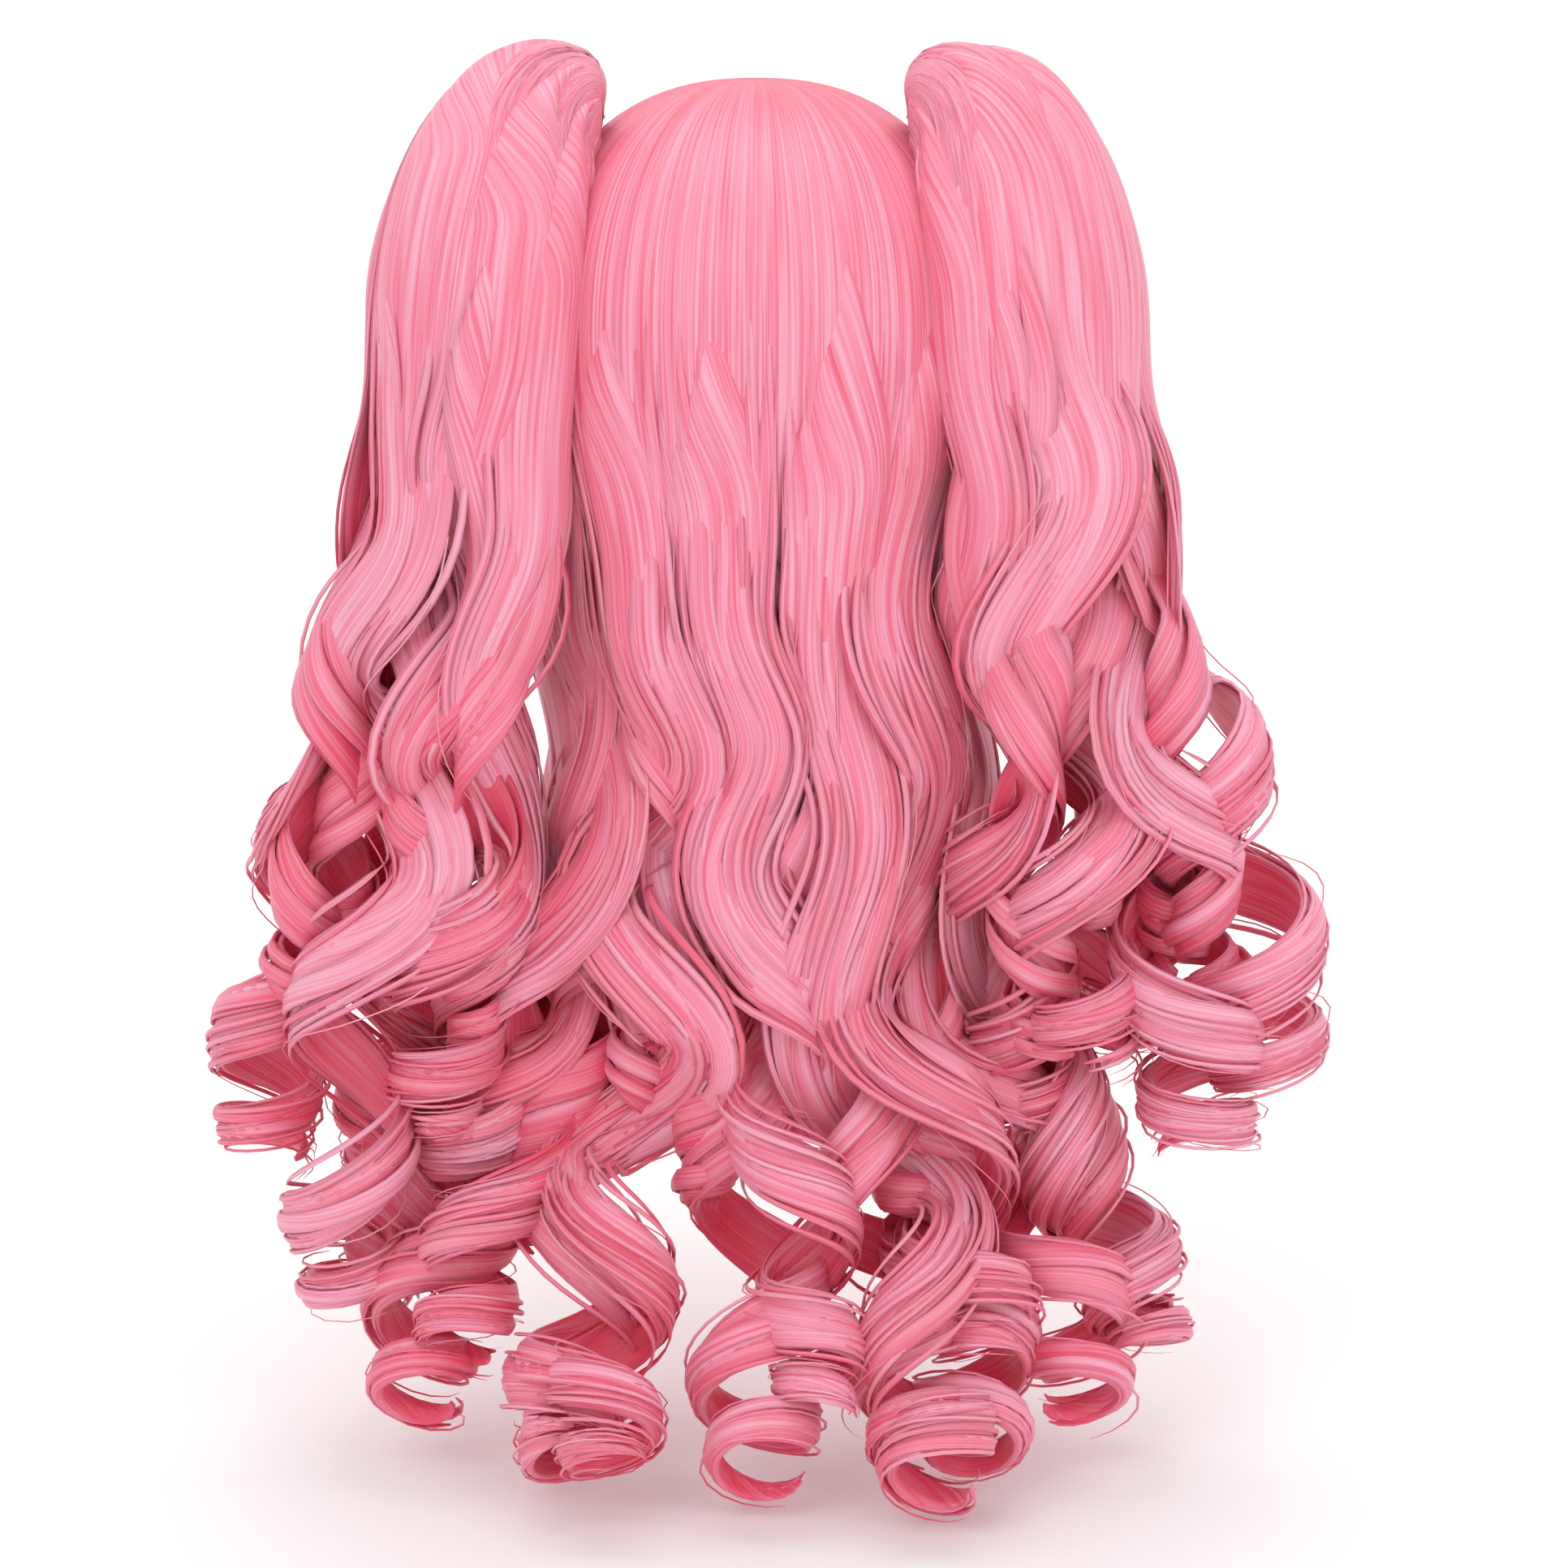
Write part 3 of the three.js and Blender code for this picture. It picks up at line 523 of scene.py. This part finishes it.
def ribbons(locks, place, surface, start, gather, spread, kinds, seed, mirror=1, painted_shade_factor=1.0):
    """The tubes of each lock: flat strands fanned over a surface, then gathered where it hangs.

    Surface gives places on the hair that a lock lies on and the way out of it, by shifts of up
    to spread to both sides. Start is the row where the strands start, and gather the rows over
    which they leave the surface for their lock. Mirror is -1 for the other side of the head, and
    a shade factor below 1 makes all of them deeper, as painted shade on locks that lie under others."""
    chance = np.random.default_rng(seed)
    tubes = []
    for lock in locks:
        lock_tint = chance.uniform(0, 1)
        for count, wide_share, thickness, stations, corners, loose, lift in kinds:
            angle = np.linspace(0, 2 * math.pi, corners, endpoint=False) + 0.3
            for number in range(count):
                luck = strand_chance(chance, count, loose, lift)
                share = 2 * (number + 0.5) / count - 1 + luck["share"]
                if count == 1:
                    share = 0.0
                if wide_share < THIN_SHARE:
                    share = share * 1.35
                line = lock_line(lock, place, start, stations, luck)
                half = lock["width"] / 2 * (1 - CURL_NARROWING * line["curly"])
                strand = half * wide_share * luck["width"]
                width, wide, high = strand_section(line, strand, thickness, angle, luck["drift"])
                gathered = smooth(line["at"] + luck["gather"], *gather)
                reach = np.clip(half - 0.6 * strand, 0, None) * share
                wander = WANDER * (loose - 0.3) * gathered
                hanging = hanging_loops(line, reach, wander, wide, high, luck)

                def on_surface(shift):
                    return surface(lock, line["at"], shift, luck["rise"])

                shift = share * spread
                if wide_share > THIN_SHARE:
                    fan = started(line) * spread * (1.3 / count if count > 1 else 1.0)
                else:
                    span = on_surface(shift + 0.05)[0] - on_surface(shift)[0]
                    fan = 0.05 * width / np.maximum(np.linalg.norm(span, axis=-1), 0.001)
                lying = lying_loops(on_surface, line["at"], shift, fan, angle, high, luck["rise"])
                gathered = gathered[:, None, None]
                loops = lying * (1 - gathered) + hanging * gathered
                across = 2 * width[:, None] * angle / math.pi + luck["grain"]
                # The shade factor paints deeper, as painted shade, the locks that lie under others
                tone_and_painted_shade = strand_tone_and_painted_shade(line, (0.4 * lock_tint + 0.6 * luck["tone_and_painted_shade"]) * painted_shade_factor, angle)
                loops[..., 0] *= mirror
                if mirror < 0:
                    loops, tone_and_painted_shade = loops[:, ::-1], tone_and_painted_shade[:, ::-1]
                tubes.append((loops, across, line["walked"], tone_and_painted_shade))
    return tubes


def on_crown(lock, at, shift, luck, sunk=0.0):
    point = crown_place(lock["across"] + shift, np.minimum(at, 3.2), luck, sunk)
    return point, unit(point + np.array([0, 0, CROWN_HEIGHT]))


def under_crown(lock, at, shift, luck):
    return on_crown(lock, at, shift, luck, UNDER_SINK)


def half_crown(name, middle, outside, below, columns=128):
    """Half of the hair shell on the cap, with fine grooves from the whorl to the rim."""
    gap = HALF_GAP / HAIR_HALF_WIDTH
    chance = np.random.default_rng(7)
    grooves = [(pitch, chance.uniform(0.5, 1), chance.uniform(0, 6)) for pitch in GROOVES]

    def polar(turn, share):
        return WHORL + (rim_angle(turn) + below(turn) - WHORL) * share

    def skin(turn, share):
        ridge = sum(size * np.sin(turn * pitch + drift) for pitch, size, drift in grooves)
        ridge = GROOVE_DEPTH * ridge * smooth(share, 0.02, 0.3)
        return head_point(turn, polar(turn, share), outside(turn, share) - UNDER_LOCKS_BY + ridge)

    def lining(turn, share):
        return head_point(turn, polar(turn, share), HAIR_INSIDE)

    reach = math.pi / 2 - gap
    turns = (middle - reach, middle + reach)
    return bent_sheet(name, columns, 44, turns, (0, 1), skin, lining, ROOT_PAINTED_SHADE)


def hair_finish(name, deep, body, bright):
    """Glossy fibre: streaks along the strands in colour, gloss and bump, and a lightness for each point,
    which is its own random tone with painted shade laid on it.
    """
    material, place, shader = new_finish(name)
    strands = place.node("UVMap", {"uv_map": "strands"}, {})
    # The point value read here is random tone with painted shade laid on it
    tone_and_painted_shade = place.node("Attribute", {"attribute_name": "tone_and_painted_shade"}, {}, "Fac")
    fine = place.node("VectorMath", {"operation": "MULTIPLY"}, {0: strands, 1: (1300, 12, 1)})
    broad = place.node("VectorMath", {"operation": "MULTIPLY"}, {0: strands, 1: (330, 8, 1)})
    fibre = place.node("TexNoise", {}, {"Vector": fine, "Scale": 1.0, "Detail": 2.0, "Roughness": 0.6})
    streak = place.node("TexNoise", {}, {"Vector": broad, "Scale": 1.0, "Detail": 2.0, "Roughness": 0.5})
    # Low lightness from dark streaks or from the painted shade in the point values gives the deep colour
    lightness = (fibre - 0.5) * 1.6 + (streak - 0.5) * 0.75 + tone_and_painted_shade * 0.55 + 0.28
    lightness = place.node("Clamp", {}, {"Value": lightness})
    low = place.node("Mix", {"data_type": "RGBA"}, {0: lightness, 6: deep, 7: body}, 2)
    colour = place.node("Mix", {"data_type": "RGBA"}, {0: lightness * lightness, 6: low, 7: bright}, 2)
    relief = fibre * 0.6 + streak * 0.8
    finish_from(
        shader,
        Base_Color=colour,
        Roughness=0.34 + fibre * 0.22,
        Normal=place.node("Bump", {}, {"Strength": 0.8, "Distance": 0.0008, "Height": relief}))
    shader.inputs["Specular IOR Level"].default_value = 0.55
    shader.inputs["Sheen Weight"].default_value = 0.25
    shader.inputs["Sheen Roughness"].default_value = 0.4
    shader.inputs["Sheen Tint"].default_value = linear(255, 190, 205)
    return material


# The deep colour is both the dark of the streaks and the colour of the painted shade
pink_hair = hair_finish("pink_fibre", linear(236, 78, 108), linear(241, 138, 166), linear(245, 181, 202))

crown_back = half_crown(
    "crown_back", 0.0, lambda turn, share: HAIR_OUTSIDE, lambda turn: HAIR_OVER_RIM)

# The strands of a lock: count, width as a share of the lock, thickness, stations, corners,
# looseness, and how far they are lifted off the lock's middle
FULL_LOCK = [
    (1, 1.0, 0.0030, 140, 20, 0.3, (0, 0)),
    (7, 0.36, 0.0010, 130, 8, 1.4, (0, 0.002)),
    (9, 0.10, 0.0005, 110, 5, 1.4, (0.0015, 0.003)),
    (3, 0.025, 0.0003, 90, 4, 4.0, (0, 0.003)),
]
PLAIN_LOCK = [
    (1, 1.0, 0.0030, 120, 16, 0.3, (0, 0)),
    (5, 0.38, 0.0010, 110, 8, 1.4, (0, 0.002)),
    (3, 0.07, 0.0006, 90, 5, 2.0, (0.0015, 0.003)),
]
THIN_LOCK = [(1, 1.0, 0.0020, 90, 14, 0.3, (0, 0)), (3, 0.4, 0.0010, 80, 8, 1.5, (0.0005, 0.003))]
back_locks_top = add_strands(
    "back_locks_top",
    ribbons(TOP_LOCKS, fall_place, on_crown, 0.0, (1.8, 3.6), 0.172, FULL_LOCK, 11))
# The under and inner locks are painted deeper: painted shade under the top locks
back_locks_under = add_strands(
    "back_locks_under",
    ribbons(
        UNDER_LOCKS, fall_place, under_crown, 1.6, (1.8, 3.0), 0.14, PLAIN_LOCK, 12, painted_shade_factor=0.75)
    + ribbons(
        INNER_LOCKS, fall_place, under_crown, 1.6, (1.4, 2.6), 0.14, THIN_LOCK, 13, painted_shade_factor=0.4))
for piece in (crown_back, back_locks_top, back_locks_under):
    piece.data.materials.append(pink_hair)
    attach(piece, "root")
    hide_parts("back_hair")

# The hair on the front of the cap
# The same fibre runs from the whorl to the brow, where it is thinned and cut as a fringe that
# hangs below the cap's edge.

FRINGE_DROP = math.radians(34)
FRINGE_THINNING = 0.45
FRINGE_LOCKS = 9
FRINGE_GROOVE = 0.0022
FRINGE_RAGGED = math.radians(1.1)


def fringe_below(turn):
    front = (1 - np.cos(turn)) / 2
    ragged = sum(np.sin(turn * pitch + pitch) for pitch in (47, 83, 139, 181, 223)) / 5
    return HAIR_OVER_RIM + (FRINGE_DROP - HAIR_OVER_RIM) * front + FRINGE_RAGGED * (ragged - 0.6)


def fringe_outside(turn, share):
    wave = np.abs(np.sin((turn - math.pi) * FRINGE_LOCKS / 2))
    thin = 1 - FRINGE_THINNING * smooth(share, 0.6, 1)
    return HAIR_INSIDE + CROWN_HAIR * thin - FRINGE_GROOVE * (1 - wave) * smooth(share, 0.3, 0.8)


crown_front = half_crown("crown_front", math.pi, fringe_outside, fringe_below, 300)
crown_front.data.materials.append(pink_hair)
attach(crown_front, "root")
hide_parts("front_hair")

# The clips of the pigtails
# A plain moulded clip grips the crown hair under each hump and can't be seen once it is on.

clip_finish, place, shader = new_finish("moulded_clip")
mottle = place.node("TexNoise", {}, {"Vector": place, "Scale": 240.0, "Detail": 3.0})
clip_colour = place.node(
    "Mix", {"data_type": "RGBA"}, {0: mottle, 6: linear(222, 150, 166), 7: linear(238, 176, 190)}, 2)
finish_from(
    shader,
    Base_Color=clip_colour,
    Roughness=mottle * 0.2 + 0.3,
    Normal=place.node("Bump", {}, {"Strength": 0.2, "Distance": 0.0003, "Height": mottle}))
for name in ("clip_left", "clip_right"):
    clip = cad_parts[name]
    clip.data.materials.clear()
    clip.data.materials.append(clip_finish)

# The clip-on pigtails
# Each is a hank of the same fibre gathered at its clip. It rises in a rounded hump, falls
# behind the ear, waves from the level of the cheek and ends in loose curls.

PIGTAIL_LENGTH = 0.440
PIGTAIL_HALF_WIDTH = 0.050
CORE_END = 6.5
CORE_SHARE = 0.72
HUMP_SKIN = 0.985
HUMP_SINK = 0.04
HUMP_GROOVE = 0.012
HUMP_GROOVES = ((5, 0.4, 0.5), (8, 2.0, -0.6), (13, 4.4, 0.3), (21, 1.1, 0.2))

# Side and back are shares of the crown hair's half width and half depth, drop of
# PIGTAIL_LENGTH, wide and deep of PIGTAIL_HALF_WIDTH. Turn is in degrees.
BUNDLE = rows_of("side back drop wide deep turn", [
    (0.64, 0.08,  0.014, 0.28, 0.24, 90),
    (0.78, 0.13, -0.005, 0.54, 0.46, 60),
    (0.98, 0.28,  0.023, 0.72,  0.5, 40),
    (1.09, 0.49,  0.105, 0.83, 0.54, 35),
    (1.13, 0.62,   0.21, 0.86, 0.56, 35),
    (1.19, 0.68,   0.32, 0.88, 0.58, 32),
    (1.29,  0.7,   0.42, 0.92,  0.6, 25),
    (1.38,  0.7,  0.535, 0.94,  0.6, 12),
    (1.49,  0.7,  0.675, 0.98,  0.6,  4),
    (1.58, 0.73,  0.795,  1.0, 0.58,  0),
    (1.58, 0.75,    0.9, 0.88, 0.52,  0),
    (1.56, 0.79,   0.98, 0.68,  0.4,  0),
])

# Around is a lock's place round the bundle in degrees: 0 outside, 90 behind, 180 inside. Reach
# is how far out it lies, as a share of the bundle. Tip is a row of BUNDLE.
TAIL_LOCK_COLUMNS = "around reach tip width wave pitch curl phase hand"
LEFT_LOCKS = rows_of(TAIL_LOCK_COLUMNS, [
    (  0, 0.74,  9.3, 0.032, 0.014,  0.12,  0.02, 0.15,  1),
    ( 80,  0.8, 10.4, 0.032, 0.022, 0.137, 0.021, 0.49,  1),
    (135,  0.7,  8.9, 0.032, 0.014, 0.108,  0.02, 0.47,  1),
    (168, 0.78,  9.9,  0.03, 0.012, 0.125, 0.019, 0.35,  1),
    (265,  0.7,  9.5, 0.028, 0.011,  0.12, 0.017, 0.05, -1),
])
RIGHT_LOCKS = rows_of(TAIL_LOCK_COLUMNS, [
    ( 20, 0.95, 8.8, 0.032, 0.012, 0.107, 0.025, 0.03, -1),
    ( 62, 0.82, 9.1, 0.032, 0.014,  0.12, 0.022,  0.2,  1),
    (114, 0.88, 8.4, 0.032, 0.022, 0.151,  0.02, 0.02, -1),
    (172, 0.78, 8.9,  0.03, 0.012,  0.12, 0.019,  0.9, -1),
    (270,  0.7, 8.6, 0.028, 0.011,  0.13, 0.017, 0.75,  1),
])


def bundle_section(at):
    """The bundle's centre, its wide and deep axes and its half sizes at rows of BUNDLE."""
    def centre(rows):
        side, back, drop = read_rows(BUNDLE, ("side", "back", "drop"), rows)
        return np.stack(
            [HAIR_HALF_WIDTH * side, -HAIR_HALF_DEPTH * back, -PIGTAIL_LENGTH * drop], axis=-1)

    wide, deep, turn = read_rows(BUNDLE, ("wide", "deep", "turn"), at)
    turn = np.radians(turn)
    along = unit(centre(at + 0.05) - centre(at - 0.05))
    wide_axis = np.stack([np.cos(turn), np.sin(turn), 0 * turn], axis=-1)
    wide_axis = unit(wide_axis - along * np.sum(wide_axis * along, axis=-1, keepdims=True))
    deep_axis = np.cross(along, wide_axis)
    return centre(at), wide_axis, deep_axis, PIGTAIL_HALF_WIDTH * wide, PIGTAIL_HALF_WIDTH * deep


def bundle_point(at, around, reach):
    centre, wide_axis, deep_axis, wide, deep = bundle_section(at)
    return (centre + wide_axis * (wide * reach * np.cos(around))[..., None]
            + deep_axis * (deep * reach * np.sin(around))[..., None])


def bundle_place(lock, at):
    around = math.radians(lock["around"])
    _, wide_axis, deep_axis, _, _ = bundle_section(at)
    return bundle_point(at, around, lock["reach"]), spoke(wide_axis, deep_axis, around + 0 * at)


def from_clip(at):
    """How far a hump has widened from its clip."""
    return 0.3 + 0.7 * smooth(at, 0, 0.9)


def on_hump(lock, at, shift, luck):
    """Strands of a pigtail come up out of its hump over the first rows."""
    around = math.radians(lock["around"]) - shift
    reach = HUMP_SKIN - HUMP_SINK * (1 - smooth(at + luck, 0.0, 1.5))
    at = np.minimum(at, 7)
    point = bundle_point(at, around, reach * from_clip(at))
    return point, unit(point - bundle_section(at)[0])


# Plain locks inside a pigtail, alike in both
INNER_TAIL_LOCKS = rows_of(TAIL_LOCK_COLUMNS, [
    ( 30, 0.46, 8.0, 0.042,  0.01, 0.12,  0.01, 0.35,  1),
    (110, 0.42, 7.6, 0.042,  0.01, 0.13,  0.01, 0.05, -1),
    (300,  0.4, 8.0, 0.042,  0.01, 0.13, 0.012,  0.2, -1),
    (142, 0.86, 8.4, 0.038, 0.007, 0.14,  0.01,  0.7,  1),
    ( 42,  0.8, 8.2, 0.038, 0.007, 0.14, 0.012, 0.55, -1),
])

for side, label, locks in ((-1, "left", LEFT_LOCKS), (1, "right", RIGHT_LOCKS)):
    def hump_skin(around, at):
        narrowing = 1 - (1 - CORE_SHARE) * smooth(at, 2.5, 5.0)
        for waves, drift, twist in HUMP_GROOVES:
            narrowing = narrowing + HUMP_GROOVE * np.sin(waves * around + drift + twist * at)
        closing = from_clip(at) * (1 - smooth(at, 0.6 * CORE_END, CORE_END)) * (at > 0.001)
        point = bundle_point(at, around, narrowing * closing * HUMP_SKIN)
        point[:, 0] *= side
        return point

    hump = bent_sheet(
        "pigtail_hump_" + label, 40, 70, (0, 2 * math.pi), (0, CORE_END), hump_skin,
        root_painted_shade=ROOT_PAINTED_SHADE)
    # The inner locks of each pigtail are painted deeper: painted shade inside the pigtail
    tail = add_strands(
        "pigtail_locks_" + label,
        ribbons(locks, bundle_place, on_hump, 0.05, (2.6, 6.0), 0.6, FULL_LOCK, 20 + side, side)
        + ribbons(
            INNER_TAIL_LOCKS, bundle_place, on_hump, 2.5, (2.0, 3.0), 0.3, THIN_LOCK, 30 + side, side,
            painted_shade_factor=0.5))
    for piece in (hump, tail):
        piece.data.materials.append(pink_hair)
        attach(piece, "root")
        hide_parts("pigtail_" + label)

# The floor, the lights and the camera
# A pale sweep under and behind the wig, soft light from the camera's side and above, and a
# camera that looks slightly down on the back of the head.

FLOOR_HEIGHT = -0.4675
FLOOR_FRONT = -3
FLOOR_LENGTH = 4.2
SWEEP_HALF_WIDTH = 4
SWEEP_RADIUS = 1.6
SWEEP_STEEPENING = 1.2
bend = bmesh.new()
bmesh.ops.create_grid(bend, x_segments=2, y_segments=60, size=1.0)
for corner in bend.verts:
    run = (corner.co.y + 1) / 2
    corner.co.x *= SWEEP_HALF_WIDTH
    corner.co.y = FLOOR_FRONT + FLOOR_LENGTH * min(2 * run, 1)
    corner.co.z = FLOOR_HEIGHT
    if run >= 0.5:
        angle = (run - 0.5) * math.pi
        rise = SWEEP_RADIUS * (1 - math.cos(angle))
        corner.co.y += SWEEP_RADIUS * math.sin(angle)
        corner.co.z += rise * (1 + SWEEP_STEEPENING * (run - 0.5))
sweep_mesh = bpy.data.meshes.new("paper_sweep")
bend.to_mesh(sweep_mesh)
bend.free()
sweep_mesh.polygons.foreach_set("use_smooth", [True] * len(sweep_mesh.polygons))
sweep = bpy.data.objects.new("paper_sweep", sweep_mesh)
bpy.context.scene.collection.objects.link(sweep)
sweep_finish, place, shader = new_finish("white_paper")
shader.inputs["Base Color"].default_value = linear(250, 250, 250)
shader.inputs["Roughness"].default_value = 0.9
sweep_mesh.materials.append(sweep_finish)

world = bpy.data.worlds.new("studio")
world.use_nodes = True
world.node_tree.nodes["Background"].inputs["Color"].default_value = (1, 1, 1, 1)
world.node_tree.nodes["Background"].inputs["Strength"].default_value = 0.78
bpy.context.scene.world = world


def soft_light(name, place, aim, width, power):
    """A square soft light at a place, turned to its aim."""
    lamp = bpy.data.lights.new(name, "AREA")
    lamp.size = width
    lamp.energy = power
    made = bpy.data.objects.new(name, lamp)
    made.location = place
    way = np.array(aim) - np.array(place)
    flat = math.hypot(way[0], way[1])
    made.rotation_euler = (math.atan2(flat, -way[2]), 0, math.atan2(-way[0], way[1]))
    bpy.context.scene.collection.objects.link(made)


soft_light("key_light", (-0.9, -1.6, 1.3), (0, 0, -0.2), 1.2, 9)
soft_light("fill_light", (1.3, -1.4, 0.5), (0, 0, -0.25), 1.2, 5)
soft_light("back_wall_light", (0, 0.9, 2.2), (0, 1.8, 0.2), 2.0, 30)

TARGET = (0.010, 0.0, -0.247)
CAMERA_DISTANCE = 1.5
CAMERA_RISE = math.radians(15)
FRAME_WIDTH = 0.580
lens = bpy.data.cameras.new("camera")
lens.sensor_width = 36
lens.lens = 36 * CAMERA_DISTANCE / FRAME_WIDTH
camera = bpy.data.objects.new("camera", lens)
camera.location = (
    TARGET[0],
    TARGET[1] - CAMERA_DISTANCE * math.cos(CAMERA_RISE),
    TARGET[2] + CAMERA_DISTANCE * math.sin(CAMERA_RISE))
camera.rotation_euler = (math.pi / 2 - CAMERA_RISE, 0, 0)
bpy.context.scene.collection.objects.link(camera)
bpy.context.scene.camera = camera
bpy.context.scene.view_settings.view_transform = "Standard"
